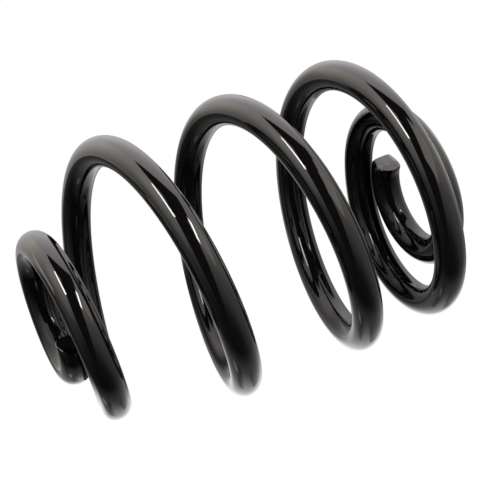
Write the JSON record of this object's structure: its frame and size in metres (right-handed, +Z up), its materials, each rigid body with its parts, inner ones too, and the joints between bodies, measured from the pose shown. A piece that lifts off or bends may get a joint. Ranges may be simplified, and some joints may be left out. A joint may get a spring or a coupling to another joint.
{
  "type": "barrel coil spring",
  "caption": "Barrel-shaped compression spring of round steel wire, wound right-handed, with inward-curled end coils and cropped wire tips, for a car's suspension.",
  "frame": {"origin": "on the axis of the body, at the level of the lower seat that the spring stands on", "axes": "+Z up along the axis of the winding, from the lower eye to the upper eye; the lower wire tip lies at 297 degrees from +X, towards -Y, which is the side that the picture shows"},
  "size_m": [0.1208, 0.121, 0.1754],
  "materials": {
    "black_enamel": "gloss"
  },
  "bodies": {
    "root": {"coil_spring": "black_enamel"}
  },
  "joints": []
}
